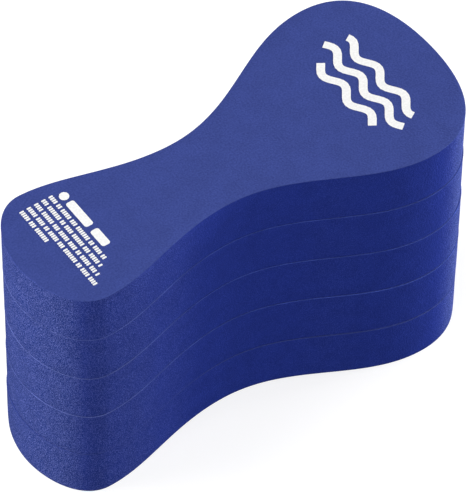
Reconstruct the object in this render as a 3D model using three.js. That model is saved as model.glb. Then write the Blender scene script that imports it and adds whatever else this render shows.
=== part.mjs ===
// Pull buoy: a swimmer's float, held between the thighs.
//
// Five sheets of closed-cell EVA foam are cut to one dumb-bell outline and bonded face to face.
// The thighs sit in the two waist recesses. White ink is printed on the top face.
//
// Units are millimetres. The origin is the middle of the footprint on the surface it stands on,
// +Z is up through the stack and +X points to the large lobe.

import * as THREE from 'three';

// Stack
const LAYER_COUNT = 5;
const LAYER_PITCH = 30;
const BOND_THICKNESS = 0.2;
const BOND_INSET = 1.5;

// Outline, symmetric about the X axis
const LENGTH = 240;
const LARGE_LOBE = { x: 80.5, width: 110 };
const WAIST = { x: -18.5, width: 45.6 };
const SMALL_LOBE = { x: -95.5, width: 74 };

// How far each curve's handles reach, as a share of the stretch they bend over
const LARGE_END_HANDLES = { end: 0.42, lobe: 0.84 };
const LARGE_FLANK_HANDLES = { lobe: 0.36, waist: 0.4 };
const SMALL_FLANK_HANDLES = { waist: 0.4, lobe: 0.31 };
const SMALL_END_HANDLES = { lobe: 0.63, end: 0.45 };
const STEPS_PER_CURVE = 12;

// Ink
const INK_THICKNESS = 0.15;
const INK_ROUND_STEPS = 6;

// Wave emblem on the large lobe: bands that run along Y and ripple along X
const WAVE_STATIONS = [68, 78, 88];
const WAVE_LENGTHS = [46, 64, 58];
const WAVE_STROKE = 4.2;
const WAVE_AMPLITUDE = 2.6;
const WAVE_PERIOD = 21;
const WAVE_STEPS_PER_PERIOD = 12;

// Care panel on the small lobe: a dot and a heading bar above plain line bars, all along Y
const PANEL_START_Y = 28.2;
const PANEL_DOT = { x: -78.6, y: 24.5, radius: 2.5 };
const PANEL_HEADING = { x: -78.6, startY: 20.2, length: 31.5, stroke: 4.6 };
const PANEL_LINE_X = -84;
const PANEL_LINE_PITCH = 4.1;
const PANEL_LINE_STROKE = 2.3;
const PANEL_LINE_LENGTHS = [46.5, 49, 53, 57.5, 22.5];

// Worked out from the above
const STACK_HEIGHT = LAYER_COUNT * LAYER_PITCH;
const LAYER_THICKNESS = (STACK_HEIGHT - (LAYER_COUNT - 1) * BOND_THICKNESS) / LAYER_COUNT;

const foam = new THREE.MeshStandardMaterial({ color: 0x3b4a92, roughness: 0.85, metalness: 0 });
const bond = new THREE.MeshStandardMaterial({ color: 0x2c3878, roughness: 0.6, metalness: 0 });
const ink = new THREE.MeshStandardMaterial({ color: 0xf4f4f2, roughness: 0.5, metalness: 0 });

// The +Y side as four curves from the large end to the small end. Each one is
// [start, first handle, second handle, end], and they join where the outline runs along an axis.
function sideCurves(inset) {
  const end = LENGTH / 2 - inset;
  const large = LARGE_LOBE.width / 2 - inset;
  const waist = WAIST.width / 2 - inset;
  const small = SMALL_LOBE.width / 2 - inset;
  const largeEnd = end - LARGE_LOBE.x;
  const largeFlank = LARGE_LOBE.x - WAIST.x;
  const smallFlank = WAIST.x - SMALL_LOBE.x;
  const smallEnd = SMALL_LOBE.x + end;
  return [
    [
      [end, 0],
      [end, LARGE_END_HANDLES.end * large],
      [LARGE_LOBE.x + LARGE_END_HANDLES.lobe * largeEnd, large],
      [LARGE_LOBE.x, large],
    ],
    [
      [LARGE_LOBE.x, large],
      [LARGE_LOBE.x - LARGE_FLANK_HANDLES.lobe * largeFlank, large],
      [WAIST.x + LARGE_FLANK_HANDLES.waist * largeFlank, waist],
      [WAIST.x, waist],
    ],
    [
      [WAIST.x, waist],
      [WAIST.x - SMALL_FLANK_HANDLES.waist * smallFlank, waist],
      [SMALL_LOBE.x + SMALL_FLANK_HANDLES.lobe * smallFlank, small],
      [SMALL_LOBE.x, small],
    ],
    [
      [SMALL_LOBE.x, small],
      [SMALL_LOBE.x - SMALL_END_HANDLES.lobe * smallEnd, small],
      [-end, SMALL_END_HANDLES.end * small],
      [-end, 0],
    ],
  ];
}

// The whole outline: the +Y side, then the same curves mirrored and run backwards.
function buoyOutline(inset) {
  const side = sideCurves(inset);
  const mirrored = side.map((curve) => curve.map(([x, y]) => [x, -y]).reverse()).reverse();
  const shape = new THREE.Shape();
  shape.moveTo(...side[0][0]);
  for (const [, handleA, handleB, end] of [...side, ...mirrored]) {
    shape.bezierCurveTo(...handleA, ...handleB, ...end);
  }
  return shape;
}

function plate(name, shape, thickness, baseZ, material, curveSegments) {
  const geometry = new THREE.ExtrudeGeometry(shape, {
    depth: thickness,
    bevelEnabled: false,
    curveSegments,
  });
  const mesh = new THREE.Mesh(geometry, material);
  mesh.name = name;
  mesh.position.z = baseZ;
  return mesh;
}

function foamLayer(index) {
  const baseZ = index * (LAYER_THICKNESS + BOND_THICKNESS);
  return plate(`foam_layer_${index + 1}`, buoyOutline(0), LAYER_THICKNESS, baseZ, foam, STEPS_PER_CURVE);
}

// A bond film fills the joint above a layer and stops short of the cut edge.
function bondFilm(index) {
  const baseZ = index * (LAYER_THICKNESS + BOND_THICKNESS) + LAYER_THICKNESS;
  return plate(
    `bond_film_${index + 1}`, buoyOutline(BOND_INSET), BOND_THICKNESS, baseZ, bond, STEPS_PER_CURVE,
  );
}

function inkFilm(name, shape) {
  return plate(name, shape, INK_THICKNESS, STACK_HEIGHT, ink, INK_ROUND_STEPS);
}

// A band of even width along a sine, with square ends cut across it.
function waveShape(stationX, length) {
  const steps = Math.round((length / WAVE_PERIOD) * WAVE_STEPS_PER_PERIOD);
  const near = [];
  const far = [];
  for (let i = 0; i <= steps; i += 1) {
    const y = length / 2 - (length * i) / steps;
    const phase = (2 * Math.PI * y) / WAVE_PERIOD;
    const slope = (WAVE_AMPLITUDE * 2 * Math.PI * Math.cos(phase)) / WAVE_PERIOD;
    const centre = new THREE.Vector2(stationX + WAVE_AMPLITUDE * Math.sin(phase), y);
    const across = new THREE.Vector2(1, -slope).normalize().multiplyScalar(WAVE_STROKE / 2);
    far.push(centre.clone().add(across));
    near.push(centre.clone().sub(across));
  }
  return new THREE.Shape([...near, ...far.reverse()]);
}

// A straight bar with round ends, from startY towards -Y.
function barShape(x, startY, length, stroke) {
  const radius = stroke / 2;
  const shape = new THREE.Shape();
  shape.absarc(x, startY - radius, radius, 0, Math.PI, false);
  shape.absarc(x, startY - length + radius, radius, Math.PI, 2 * Math.PI, false);
  return shape;
}

function dotShape({ x, y, radius }) {
  return new THREE.Shape().absarc(x, y, radius, 0, 2 * Math.PI, false);
}

function waveEmblem() {
  return WAVE_STATIONS.map((x, i) => inkFilm(`wave_band_${i + 1}`, waveShape(x, WAVE_LENGTHS[i])));
}

function carePanel() {
  const { x, startY, length, stroke } = PANEL_HEADING;
  const dot = inkFilm('panel_dot', dotShape(PANEL_DOT));
  const heading = inkFilm('panel_heading', barShape(x, startY, length, stroke));
  const lines = PANEL_LINE_LENGTHS.map((lineLength, i) => {
    const lineX = PANEL_LINE_X - i * PANEL_LINE_PITCH;
    return inkFilm(`panel_line_${i + 1}`, barShape(lineX, PANEL_START_Y, lineLength, PANEL_LINE_STROKE));
  });
  return [dot, heading, ...lines];
}

const pullBuoy = new THREE.Group();
for (let i = 0; i < LAYER_COUNT; i += 1) {
  pullBuoy.add(foamLayer(i));
}
for (let i = 0; i < LAYER_COUNT - 1; i += 1) {
  pullBuoy.add(bondFilm(i));
}
pullBuoy.add(...waveEmblem(), ...carePanel());

export default pullBuoy;
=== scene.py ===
import math

import bpy
from mathutils import Matrix, Vector, noise


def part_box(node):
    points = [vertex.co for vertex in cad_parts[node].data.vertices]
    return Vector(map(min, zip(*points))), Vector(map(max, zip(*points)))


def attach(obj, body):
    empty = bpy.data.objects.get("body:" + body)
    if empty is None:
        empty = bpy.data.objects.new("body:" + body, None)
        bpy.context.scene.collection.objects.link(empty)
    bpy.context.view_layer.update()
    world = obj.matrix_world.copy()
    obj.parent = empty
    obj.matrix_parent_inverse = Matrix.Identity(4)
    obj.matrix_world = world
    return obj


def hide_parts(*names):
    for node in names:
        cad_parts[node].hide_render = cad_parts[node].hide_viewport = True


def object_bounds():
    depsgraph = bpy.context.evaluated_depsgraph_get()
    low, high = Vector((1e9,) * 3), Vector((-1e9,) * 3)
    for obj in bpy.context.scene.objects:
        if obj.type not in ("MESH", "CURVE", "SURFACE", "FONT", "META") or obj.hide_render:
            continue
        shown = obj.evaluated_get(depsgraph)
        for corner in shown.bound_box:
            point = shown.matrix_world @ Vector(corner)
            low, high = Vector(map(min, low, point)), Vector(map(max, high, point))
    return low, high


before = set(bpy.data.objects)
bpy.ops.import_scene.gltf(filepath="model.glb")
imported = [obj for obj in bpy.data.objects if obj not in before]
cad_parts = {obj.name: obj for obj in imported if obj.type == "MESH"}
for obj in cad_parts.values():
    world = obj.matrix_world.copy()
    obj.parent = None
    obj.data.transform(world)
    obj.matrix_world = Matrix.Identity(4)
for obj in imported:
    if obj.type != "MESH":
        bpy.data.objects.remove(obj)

cad_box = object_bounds()
MM = 0.001

# Outline, as the CAD draws it: symmetric about the X axis, with its length taken from the frame.
# A handle is a share of the stretch that its curve bends over, given in the curve's order.
LARGE_LOBE_X = 80.5 * MM
LARGE_LOBE_WIDTH = 110 * MM
WAIST_X = -18.5 * MM
WAIST_WIDTH = 45.6 * MM
SMALL_LOBE_X = -95.5 * MM
SMALL_LOBE_WIDTH = 74 * MM
LARGE_END_HANDLES = (0.42, 0.84)
LARGE_FLANK_HANDLES = (0.36, 0.4)
SMALL_FLANK_HANDLES = (0.4, 0.31)
SMALL_END_HANDLES = (0.63, 0.45)
STEPS_PER_CURVE = 36

# A sheet's cut side: how its rims are rounded, how far it turns out at the upper rim and in at the
# lower one (flare, for each sheet), and how far it bulges in between
OUTER_EDGE = 0.3 * MM
SEAM_UPPER_EDGE = 0.2 * MM
SEAM_LOWER_EDGE = 0.1 * MM
FLARE = {1: 0.12 * MM, 2: 0.18 * MM, 3: 0.2 * MM, 4: 0.18 * MM, 5: 0.16 * MM}
FLARE_SHARPNESS = 7
BULGE = 0.08 * MM
EDGE_STEPS = 4
SIDE_STEPS = 18
CAP_COLUMNS = 12

# What cutting and bonding leave: the cut wanders, the outline bows and no sheet sits quite true
CUT_DRIFT = 0.12 * MM
CUT_DRIFT_LENGTH = 45 * MM
DRIFT_STEP_PER_SHEET = 100.0
BOW = 1.9 * MM
SHEET_TURN = math.radians(0.18)
MIDDLE_SHEET = 3
SHEET_SHIFT = {1: -0.05 * MM, 2: 0.3 * MM, 3: 0.35 * MM, 4: 0.15 * MM, 5: -0.1 * MM}

# A sheet's material slots
SKIN_SLOT = 0
CUT_SLOT = 1
RIM_SLOT = 2

# Print: each line of the panel is broken into blocks, grouped like words, with so many blocks in
# each word. The heading's two bars are shares of its length.
BLOCK_LENGTH = 0.95 * MM
BLOCK_GAP = 0.4 * MM
BLOCK_CORNER = 0.3 * MM
WORD_GAP = 1.0 * MM
WORDS = (4, 2, 5, 3, 7, 2, 4, 6, 3, 5)
WORDS_SKIPPED_PER_ROW = 3
HEADING_SHARES = (0.55, 0.35)
HEADING_CORNER = 1.2 * MM
CORNER_STEPS = 3

# Colours. Pores are the dark part of the cut foam's grain and walls the pale part.
SKIN_DARK = (0.031, 0.050, 0.220)
# The seam rims' colours are a painted highlight, paler on the small lobe than at the waist
SKIN_PALE = (0.045, 0.067, 0.266)
RIM_HIGHLIGHT_SMALL_LOBE = (0.098, 0.128, 0.360)
RIM_HIGHLIGHT_WAIST = (0.045, 0.078, 0.360)
PORE_WAIST = (0.0128, 0.0285, 0.230)
WALL_WAIST = (0.024, 0.045, 0.305)
# Where the cut side's normal turns to X its colours carry a painted sheen, whiter than the waist's
PORE_END_SHEEN = (0.011, 0.029, 0.168)
WALL_END_SHEEN = (0.116, 0.142, 0.425)
BOND_BLUE = (0.02, 0.035, 0.2)
INK_WHITE = (0.86, 0.86, 0.85)
FLOOR_WHITE = (0.36, 0.36, 0.36)

# Where the cut side gets a painted sheen: where its normal turns towards X,
# and to a lesser degree on the small lobe
SHEEN_SKEW = 0.15
SHEEN_FACING_FROM = 0.24
SHEEN_FACING_FULLY = 0.78
SMALL_LOBE_SHEEN = 0.43
LOBE_FROM = -35 * MM
LOBE_FULLY = -85 * MM

# Textures: scales are per metre, and pairs are the least and the most that a colour is multiplied by
SKIN_GRAIN_SCALE = 1100
SKIN_MOTTLE_SCALE = 110
SKIN_MOTTLE = (0.96, 1.04)
SKIN_WAVE_SCALE = 90
SKIN_WAVE_DEPTH = 0.4 * MM
SKIN_PEEL_SCALE = 1000
SKIN_PEEL_DEPTH = 0.2 * MM
# The seam rim's painted highlight is broken up at random
RIM_MOTTLE_SCALE = 70
RIM_MOTTLE = (0.75, 1.25)
RIM_GRAIN = (0.85, 1.15)
CUT_GRAIN_SCALE = 2500
CUT_GRAIN_FROM = 0.42
CUT_GRAIN_FULLY = 0.72
CUT_MOTTLE_SCALE = 120
CUT_MOTTLE = (0.95, 1.05)
CUT_WAVE_SCALE = 140
CUT_WAVE_DEPTH = 0.1 * MM
CUT_CELL_SCALE = 1000
CUT_CELL_DEPTH = 0.12 * MM
BOND_MOTTLE_SCALE = 400
BOND_MOTTLE = (0.9, 1.1)
INK_MOTTLE_SCALE = 900
INK_MOTTLE = (0.94, 1.05)
INK_GRAIN_SCALE = 1200
INK_GRAIN_DEPTH = 0.08 * MM
FLOOR_MOTTLE_SCALE = 300
FLOOR_MOTTLE = (0.99, 1.01)

# The middle part of a noise texture's range, which holds nearly all of its values
NOISE_LOW = 0.3
NOISE_HIGH = 0.7

# How matt each surface is
SKIN_ROUGHNESS = 0.75
CUT_ROUGHNESS = 0.8
BOND_ROUGHNESS = 0.45
INK_ROUGHNESS = 0.5
FLOOR_ROUGHNESS = 0.9
FOAM_SPECULAR = 0.1

# Camera
CAMERA_AZIMUTH = -35.88
CAMERA_ELEVATION = 50.92
CAMERA_ROLL = 0.85
CAMERA_DISTANCE = 2.433
CAMERA_TARGET = Vector((5.05, 3.83, 75.0)) * MM
CAMERA_REACH = 50
LENS = 365.85
SENSOR_WIDTH = 36

# Studio
SOFTBOX_WIDTH = 0.9
SOFTBOX_HEIGHT = 0.6
SOFTBOX_DISTANCE = 1.5
LOW_ELEVATION = 12
TOP_ELEVATION = 60
FLOOR_REACH = 12.0
FLOOR_GLOW = 0.75


def bezier(start, handle_a, handle_b, end, t):
    s = 1 - t
    return (s ** 3 * Vector(start) + 3 * s * s * t * Vector(handle_a)
            + 3 * s * t * t * Vector(handle_b) + t ** 3 * Vector(end))


def half_outline(length):
    """The +Y side from the large end to the small end."""
    end = length / 2
    large = LARGE_LOBE_WIDTH / 2
    waist = WAIST_WIDTH / 2
    small = SMALL_LOBE_WIDTH / 2
    large_end = end - LARGE_LOBE_X
    large_flank = LARGE_LOBE_X - WAIST_X
    small_flank = WAIST_X - SMALL_LOBE_X
    small_end = SMALL_LOBE_X + end
    curves = (
        (
            (end, 0),
            (end, LARGE_END_HANDLES[0] * large),
            (LARGE_LOBE_X + LARGE_END_HANDLES[1] * large_end, large),
            (LARGE_LOBE_X, large),
        ),
        (
            (LARGE_LOBE_X, large),
            (LARGE_LOBE_X - LARGE_FLANK_HANDLES[0] * large_flank, large),
            (WAIST_X + LARGE_FLANK_HANDLES[1] * large_flank, waist),
            (WAIST_X, waist),
        ),
        (
            (WAIST_X, waist),
            (WAIST_X - SMALL_FLANK_HANDLES[0] * small_flank, waist),
            (SMALL_LOBE_X + SMALL_FLANK_HANDLES[1] * small_flank, small),
            (SMALL_LOBE_X, small),
        ),
        (
            (SMALL_LOBE_X, small),
            (SMALL_LOBE_X - SMALL_END_HANDLES[0] * small_end, small),
            (-end, SMALL_END_HANDLES[1] * small),
            (-end, 0),
        ),
    )
    points = [Vector(curves[0][0])]
    for curve in curves:
        points += [bezier(*curve, step / STEPS_PER_CURVE) for step in range(1, STEPS_PER_CURVE + 1)]
    return points


def full_outline(length):
    """Anticlockwise ring: the +Y side, then its mirror image run backwards."""
    side = half_outline(length)
    return side + [Vector((p.x, -p.y)) for p in reversed(side[1:-1])]


def bowed(point, half_length):
    """The ends lie towards +Y and the middle towards -Y, so that on average the outline stays put."""
    return Vector((point.x, point.y + BOW * ((point.x / half_length) ** 2 - 1 / 3)))


def outward_normals(ring):
    normals = []
    for i in range(len(ring)):
        along = ring[(i + 1) % len(ring)] - ring[i - 1]
        normals.append(Vector((along.y, -along.x)).normalized())
    return normals


def side_profile(low, high, low_radius, high_radius, flare):
    """(outward offset, height) from the lower face's rim to the upper face's rim.

    Near its rims the cut turns out above and in below, so each sheet ends in a ledge under the next.
    """
    profile = []
    for step in range(EDGE_STEPS + 1):
        angle = math.pi / 2 * step / EDGE_STEPS
        profile.append((-low_radius * (1 - math.sin(angle)), low + low_radius * (1 - math.cos(angle))))
    straight = (high - high_radius) - (low + low_radius)
    for step in range(1, SIDE_STEPS):
        profile.append((0.0, low + low_radius + straight * step / SIDE_STEPS))
    for step in range(EDGE_STEPS + 1):
        angle = math.pi / 2 * step / EDGE_STEPS
        profile.append((-high_radius * (1 - math.cos(angle)), high - high_radius * (1 - math.sin(angle))))
    middle = (low + high) / 2
    half = (high - low) / 2
    shaped = []
    for offset, z in profile:
        share = (z - middle) / half
        shaped.append((offset + flare * share ** FLARE_SHARPNESS + BULGE * (1 - share ** 2), z))
    return shaped


def sheet_rings(ring, profile, index):
    """The outline once for each row of the profile, as the cutter and the bonding leave it."""
    normals = outward_normals(ring)
    rotation = Matrix.Rotation((index - MIDDLE_SHEET) * SHEET_TURN, 2)
    verts = []
    for offset, z in profile:
        for point, normal in zip(ring, normals):
            place = Vector((point.x, point.y, index * DRIFT_STEP_PER_SHEET)) / CUT_DRIFT_LENGTH
            drift = CUT_DRIFT * noise.noise(place)
            moved = rotation @ (point + normal * (offset + drift))
            verts.append((moved.x + SHEET_SHIFT[index], moved.y, z))
    return verts


def side_faces(count, rows):
    """Faces between the rings, and the material slot of each."""
    faces = []
    slots = []
    for row in range(rows - 1):
        if row < EDGE_STEPS:
            slot = SKIN_SLOT
        elif row < rows - 1 - EDGE_STEPS:
            slot = CUT_SLOT
        else:
            slot = RIM_SLOT
        for i in range(count):
            j = (i + 1) % count
            faces.append((row * count + i, row * count + j, (row + 1) * count + j, (row + 1) * count + i))
            slots.append(slot)
    return faces, slots


def cap_faces(verts, rim, faces_down):
    """Faces that close a ring, in strips across the sheet. The points inside it join verts."""
    count = len(rim)
    half = count // 2
    columns = [[rim[0]] * (CAP_COLUMNS + 1)]
    for i in range(1, half):
        left = rim[i]
        right = rim[count - i]
        start = Vector(verts[left])
        end = Vector(verts[right])
        inner = []
        for k in range(1, CAP_COLUMNS):
            inner.append(len(verts))
            verts.append(tuple(start.lerp(end, k / CAP_COLUMNS)))
        columns.append([left, *inner, right])
    columns.append([rim[half]] * (CAP_COLUMNS + 1))
    faces = []
    for first, second in zip(columns, columns[1:]):
        for k in range(CAP_COLUMNS):
            # The strips at either end come to a point, where a corner repeats
            face = list(dict.fromkeys((first[k], second[k], second[k + 1], first[k + 1])))
            if faces_down:
                face.reverse()
            faces.append(tuple(face))
    return faces


def foam_mesh(name, low, high, low_radius, high_radius, index):
    """One sheet as a closed mesh: the cut side, then the lower and the upper cap."""
    length = cad_box[1][0] - cad_box[0][0]
    ring = [bowed(point, length / 2) for point in full_outline(length)]
    profile = side_profile(low, high, low_radius, high_radius, FLARE[index])
    count = len(ring)
    verts = sheet_rings(ring, profile, index)
    faces, slots = side_faces(count, len(profile))
    for row, faces_down in ((0, True), (len(profile) - 1, False)):
        rim = range(row * count, (row + 1) * count)
        cap = cap_faces(verts, rim, faces_down)
        faces += cap
        slots += [SKIN_SLOT] * len(cap)
    mesh = bpy.data.meshes.new(name)
    mesh.from_pydata(verts, [], faces)
    mesh.polygons.foreach_set("material_index", slots)
    mesh.shade_smooth()
    mesh.update()
    return mesh


class Nodes:
    """Short calls for building a material's node tree."""

    def __init__(self, name):
        self.material = bpy.data.materials.new(name)
        self.material.use_nodes = True
        self.tree = self.material.node_tree
        self.shader = self.tree.nodes["Principled BSDF"]
        place = self.add("ShaderNodeTexCoord")
        self.coordinates = place.outputs["Object"]
        self.normal = place.outputs["Normal"]

    def add(self, kind, **settings):
        node = self.tree.nodes.new(kind)
        for key, value in settings.items():
            setattr(node, key, value)
        return node

    def link(self, source, target):
        self.tree.links.new(source, target)

    def noise(self, scale, detail):
        node = self.add("ShaderNodeTexNoise")
        node.inputs["Scale"].default_value = scale
        node.inputs["Detail"].default_value = detail
        self.link(self.coordinates, node.inputs["Vector"])
        return node.outputs["Fac"]

    def cells(self, scale):
        node = self.add("ShaderNodeTexVoronoi", feature="F1")
        node.inputs["Scale"].default_value = scale
        self.link(self.coordinates, node.inputs["Vector"])
        return node.outputs["Distance"]

    def ramp(self, value, low, high, start=NOISE_LOW, stop=NOISE_HIGH):
        """Low where the value is at start, high at stop, and eased in between."""
        node = self.add("ShaderNodeMapRange", interpolation_type="SMOOTHSTEP")
        node.inputs["From Min"].default_value = start
        node.inputs["From Max"].default_value = stop
        node.inputs["To Min"].default_value = low
        node.inputs["To Max"].default_value = high
        self.link(value, node.inputs["Value"])
        return node.outputs["Result"]

    def along_x(self, vector):
        axes = self.add("ShaderNodeSeparateXYZ")
        self.link(vector, axes.inputs[0])
        return axes.outputs["X"]

    def math(self, operation, *values):
        """One sum on values that are each a number or another node's output."""
        node = self.add("ShaderNodeMath", operation=operation)
        for socket, value in zip(node.inputs, values):
            if isinstance(value, float):
                socket.default_value = value
            else:
                self.link(value, socket)
        return node.outputs[0]

    def mix(self, factor, first, second):
        """A colour between two, each of them a colour or another node's output."""
        node = self.add("ShaderNodeMix", data_type="RGBA")
        self.link(factor, node.inputs["Factor"])
        sockets = [socket for socket in node.inputs if socket.type == "RGBA"]
        for socket, colour in zip(sockets, (first, second)):
            if isinstance(colour, tuple):
                socket.default_value = (*colour, 1)
            else:
                self.link(colour, socket)
        return next(socket for socket in node.outputs if socket.type == "RGBA")

    def tint(self, colour, factor):
        """A colour made lighter or darker by factor."""
        node = self.add("ShaderNodeVectorMath", operation="SCALE")
        if isinstance(colour, tuple):
            node.inputs[0].default_value = colour
        else:
            self.link(colour, node.inputs[0])
        self.link(factor, node.inputs["Scale"])
        return node.outputs["Vector"]

    def bump(self, height, distance, under=None):
        node = self.add("ShaderNodeBump")
        node.inputs["Distance"].default_value = distance
        self.link(height, node.inputs["Height"])
        if under is not None:
            self.link(under, node.inputs["Normal"])
        return node.outputs["Normal"]

    def finish(self, colour, roughness, normal=None, specular=None):
        """Give the shader its colour and surface, and return the finished material."""
        self.link(colour, self.shader.inputs["Base Color"])
        self.shader.inputs["Roughness"].default_value = roughness
        if normal is not None:
            self.link(normal, self.shader.inputs["Normal"])
        if specular is not None:
            self.shader.inputs["Specular IOR Level"].default_value = specular
        return self.material


def skin_material():
    """The sheet's moulded face: smooth, with a faint orange peel."""
    n = Nodes("foam_skin")
    grain = n.mix(n.ramp(n.noise(SKIN_GRAIN_SCALE, detail=2), 0, 1), SKIN_DARK, SKIN_PALE)
    colour = n.tint(grain, n.ramp(n.noise(SKIN_MOTTLE_SCALE, detail=3), *SKIN_MOTTLE))
    wave = n.bump(n.noise(SKIN_WAVE_SCALE, detail=2), SKIN_WAVE_DEPTH)
    peel = n.bump(n.noise(SKIN_PEEL_SCALE, detail=3), SKIN_PEEL_DEPTH, under=wave)
    return n.finish(colour, SKIN_ROUGHNESS, peel, FOAM_SPECULAR)


def rim_highlight_material():
    """The rim that stands out at a seam: a painted highlight, palest on the small lobe and broken up at
    random.
    """
    n = Nodes("foam_rim_highlight")
    along = n.ramp(n.along_x(n.coordinates), 0, 1, SMALL_LOBE_X, WAIST_X)
    mottle = n.ramp(n.noise(RIM_MOTTLE_SCALE, detail=2), *RIM_MOTTLE)
    grain = n.ramp(n.noise(SKIN_GRAIN_SCALE, detail=2), *RIM_GRAIN)
    colour = n.tint(n.mix(along, RIM_HIGHLIGHT_SMALL_LOBE, RIM_HIGHLIGHT_WAIST), n.math("MULTIPLY", mottle, grain))
    peel = n.bump(n.noise(SKIN_PEEL_SCALE, detail=3), SKIN_PEEL_DEPTH)
    return n.finish(colour, SKIN_ROUGHNESS, peel, FOAM_SPECULAR)


def painted_sheen_mask(n):
    """Painted sheen: 1 where the normal turns to X, some on the small lobe and 0 at the waist."""
    facing = n.math("ADD", n.along_x(n.normal), SHEEN_SKEW)
    sheen_on_ends = n.ramp(n.math("ABSOLUTE", facing), 0, 1, SHEEN_FACING_FROM, SHEEN_FACING_FULLY)
    lobe = n.ramp(n.along_x(n.coordinates), SMALL_LOBE_SHEEN, 0, LOBE_FULLY, LOBE_FROM)
    return n.math("MAXIMUM", sheen_on_ends, lobe)


def cut_material():
    """The cut side: open cells, with pale walls and a painted sheen that show most where the normal turns
    to X.
    """
    n = Nodes("foam_cut")
    sheen = painted_sheen_mask(n)
    # The end colours carry the painted sheen
    pores = n.mix(sheen, PORE_WAIST, PORE_END_SHEEN)
    walls = n.mix(sheen, WALL_WAIST, WALL_END_SHEEN)
    pattern = n.ramp(n.noise(CUT_GRAIN_SCALE, detail=0), 0, 1, CUT_GRAIN_FROM, CUT_GRAIN_FULLY)
    colour = n.tint(n.mix(pattern, pores, walls), n.ramp(n.noise(CUT_MOTTLE_SCALE, detail=3), *CUT_MOTTLE))
    wave = n.bump(n.noise(CUT_WAVE_SCALE, detail=3), CUT_WAVE_DEPTH)
    cells = n.bump(n.cells(CUT_CELL_SCALE), CUT_CELL_DEPTH, under=wave)
    return n.finish(colour, CUT_ROUGHNESS, cells, FOAM_SPECULAR)


def bond_material():
    n = Nodes("bond_film")
    colour = n.tint(BOND_BLUE, n.ramp(n.noise(BOND_MOTTLE_SCALE, detail=2), *BOND_MOTTLE))
    return n.finish(colour, BOND_ROUGHNESS)


def ink_material():
    """Screen-printed white with the foam's grain showing through faintly."""
    n = Nodes("white_ink")
    colour = n.tint(INK_WHITE, n.ramp(n.noise(INK_MOTTLE_SCALE, detail=3), *INK_MOTTLE))
    return n.finish(colour, INK_ROUGHNESS, n.bump(n.noise(INK_GRAIN_SCALE, detail=3), INK_GRAIN_DEPTH))


def floor_material():
    """Matt white paper on a light table, so that its shadows stay pale."""
    n = Nodes("floor_paper")
    n.shader.inputs["Emission Color"].default_value = (1, 1, 1, 1)
    n.shader.inputs["Emission Strength"].default_value = FLOOR_GLOW
    colour = n.tint(FLOOR_WHITE, n.ramp(n.noise(FLOOR_MOTTLE_SCALE, detail=2), *FLOOR_MOTTLE))
    return n.finish(colour, FLOOR_ROUGHNESS, specular=0.0)


def show(name, data):
    """Put a mesh, a lamp or a camera in the scene, and return its object."""
    thing = bpy.data.objects.new(name, data)
    bpy.context.scene.collection.objects.link(thing)
    return thing


def give(piece, *materials):
    piece.data.materials.clear()
    for material in materials:
        piece.data.materials.append(material)


def foam_layers():
    skin = skin_material()
    highlighted_rim = rim_highlight_material()
    cut = cut_material()
    names = sorted(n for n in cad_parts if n.startswith("foam_layer_"))
    for name in names:
        index = int(name.rsplit("_", 1)[1])
        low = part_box(name)[0].z
        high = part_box(name)[1].z
        first = index == 1
        last = index == len(names)
        # The foam closes over the rim of the bond film, so sheets meet half way
        if not first:
            low = (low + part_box(f"foam_layer_{index - 1}")[1].z) / 2
        if not last:
            high = (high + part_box(f"foam_layer_{index + 1}")[0].z) / 2
        low_radius = OUTER_EDGE if first else SEAM_LOWER_EDGE
        high_radius = OUTER_EDGE if last else SEAM_UPPER_EDGE
        mesh = foam_mesh(f"sheet_{index}", low, high, low_radius, high_radius, index)
        # The lowest seam's rim gets no painted highlight, and the top sheet's rim is no seam
        rim = skin if first or last else highlighted_rim
        for material in (skin, cut, rim):
            mesh.materials.append(material)
        piece = show(f"sheet_{index}", mesh)
        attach(piece, "root")
        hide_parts(name)


def add_block(verts, faces, low, high, corner):
    """A closed flat block with round corners, between two corner points of its box."""
    outline = []
    centres = (
        (high.x - corner, high.y - corner), (low.x + corner, high.y - corner),
        (low.x + corner, low.y + corner), (high.x - corner, low.y + corner),
    )
    for quarter, (x, y) in enumerate(centres):
        for step in range(CORNER_STEPS + 1):
            angle = math.pi / 2 * (quarter + step / CORNER_STEPS)
            outline.append((x + corner * math.cos(angle), y + corner * math.sin(angle)))
    start = len(verts)
    count = len(outline)
    verts += [(x, y, low.z) for x, y in outline]
    verts += [(x, y, high.z) for x, y in outline]
    faces.append(tuple(start + i for i in reversed(range(count))))
    faces.append(tuple(start + count + i for i in range(count)))
    for i in range(count):
        j = (i + 1) % count
        faces.append((start + i, start + j, start + count + j, start + count + i))


def word_blocks(start, end, row):
    """Where each block of a line begins along Y, from start down to end."""
    y = start
    word = WORDS_SKIPPED_PER_ROW * row
    while True:
        for _ in range(WORDS[word % len(WORDS)]):
            if y - BLOCK_LENGTH < end:
                return
            yield y
            y -= BLOCK_LENGTH + BLOCK_GAP
        y -= WORD_GAP
        word += 1


def block_row(node, name, spans, corner, material):
    """Blocks that stand for one printed bar of the CAD, each from one Y down to another."""
    low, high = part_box(node)
    verts = []
    faces = []
    for start, end in spans:
        add_block(verts, faces, Vector((low.x, end, low.z)), Vector((high.x, start, high.z)), corner)
    mesh = bpy.data.meshes.new(name)
    mesh.from_pydata(verts, [], faces)
    mesh.materials.append(material)
    piece = show(name, mesh)
    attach(piece, "root")
    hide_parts(node)


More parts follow.
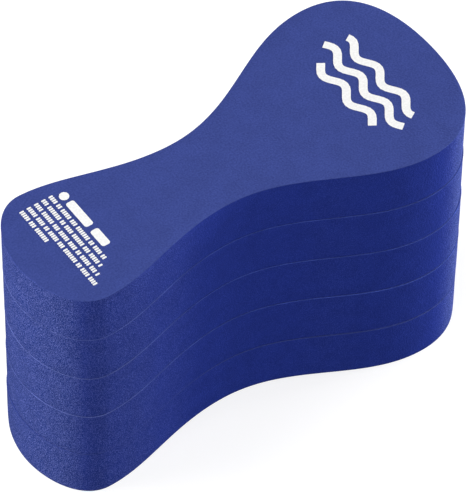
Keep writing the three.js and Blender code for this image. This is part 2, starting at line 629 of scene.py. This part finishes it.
def care_panel(ink):
    low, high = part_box("panel_heading")
    length = high.y - low.y
    first, second = (share * length for share in HEADING_SHARES)
    spans = ((high.y, high.y - first), (low.y + second, low.y))
    block_row("panel_heading", "heading_bars", spans, HEADING_CORNER, ink)
    lines = sorted(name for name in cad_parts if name.startswith("panel_line_"))
    for row, node in enumerate(lines):
        low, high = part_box(node)
        spans = [(y, y - BLOCK_LENGTH) for y in word_blocks(high.y, low.y, row)]
        block_row(node, f"line_blocks_{row + 1}", spans, BLOCK_CORNER, ink)


def films():
    """The bond films and the print keep the CAD's shapes, except the panel's bars."""
    bond = bond_material()
    ink = ink_material()
    for name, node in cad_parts.items():
        if name.startswith("bond_film"):
            give(node, bond)
        elif name.startswith(("wave_", "panel_")):
            give(node, ink)
    care_panel(ink)


def towards(azimuth, elevation):
    """The direction from the object out to a place around it. Azimuth 0 looks along +Y."""
    az = math.radians(azimuth)
    el = math.radians(elevation)
    return Vector((math.sin(az) * math.cos(el), -math.cos(az) * math.cos(el), math.sin(el)))


def softbox(name, azimuth, elevation, power):
    light = bpy.data.lights.new(name, "AREA")
    light.shape = "RECTANGLE"
    light.size = SOFTBOX_WIDTH
    light.size_y = SOFTBOX_HEIGHT
    light.energy = power
    lamp = show(name, light)
    away = towards(azimuth, elevation)
    lamp.location = CAMERA_TARGET + away * SOFTBOX_DISTANCE
    lamp.rotation_euler = away.to_track_quat("Z", "Y").to_euler()
    lamp.visible_camera = False


def pale_floor():
    mesh = bpy.data.meshes.new("floor")
    reach = FLOOR_REACH
    corners = [(-reach, -reach, 0), (reach, -reach, 0), (reach, reach, 0), (-reach, reach, 0)]
    mesh.from_pydata(corners, [], [(0, 1, 2, 3)])
    floor = show("floor", mesh)
    give(floor, floor_material())
    # The paper throws no light back at the object
    floor.visible_diffuse = False
    floor.visible_glossy = False


def pale_world():
    """A pale backdrop for the camera that adds no light of its own."""
    world = bpy.data.worlds.new("studio")
    world.use_nodes = True
    tree = world.node_tree
    background = tree.nodes["Background"]
    background.inputs["Color"].default_value = (1, 1, 1, 1)
    path = tree.nodes.new("ShaderNodeLightPath")
    tree.links.new(path.outputs["Is Camera Ray"], background.inputs["Strength"])
    bpy.context.scene.world = world


def studio():
    pale_floor()
    pale_world()
    softbox("left_softbox", azimuth=-68, elevation=LOW_ELEVATION, power=16.5)
    softbox("left_rear_softbox", azimuth=-120, elevation=LOW_ELEVATION, power=9.8)
    softbox("right_front_softbox", azimuth=60, elevation=LOW_ELEVATION, power=26.2)
    softbox("right_softbox", azimuth=90, elevation=LOW_ELEVATION, power=22.6)
    softbox("top_rear_softbox", azimuth=225, elevation=TOP_ELEVATION, power=16.2)


def camera():
    data = bpy.data.cameras.new("camera")
    data.lens = LENS
    data.sensor_width = SENSOR_WIDTH
    data.clip_end = CAMERA_REACH
    shot = show("camera", data)
    back = towards(CAMERA_AZIMUTH, CAMERA_ELEVATION)
    turn = back.to_track_quat("Z", "Y").to_matrix().to_4x4()
    roll = Matrix.Rotation(math.radians(CAMERA_ROLL), 4, "Z")
    shot.matrix_world = Matrix.Translation(CAMERA_TARGET + back * CAMERA_DISTANCE) @ turn @ roll
    bpy.context.scene.camera = shot


foam_layers()
films()
studio()
camera()

bpy.context.scene.view_settings.view_transform = "Standard"
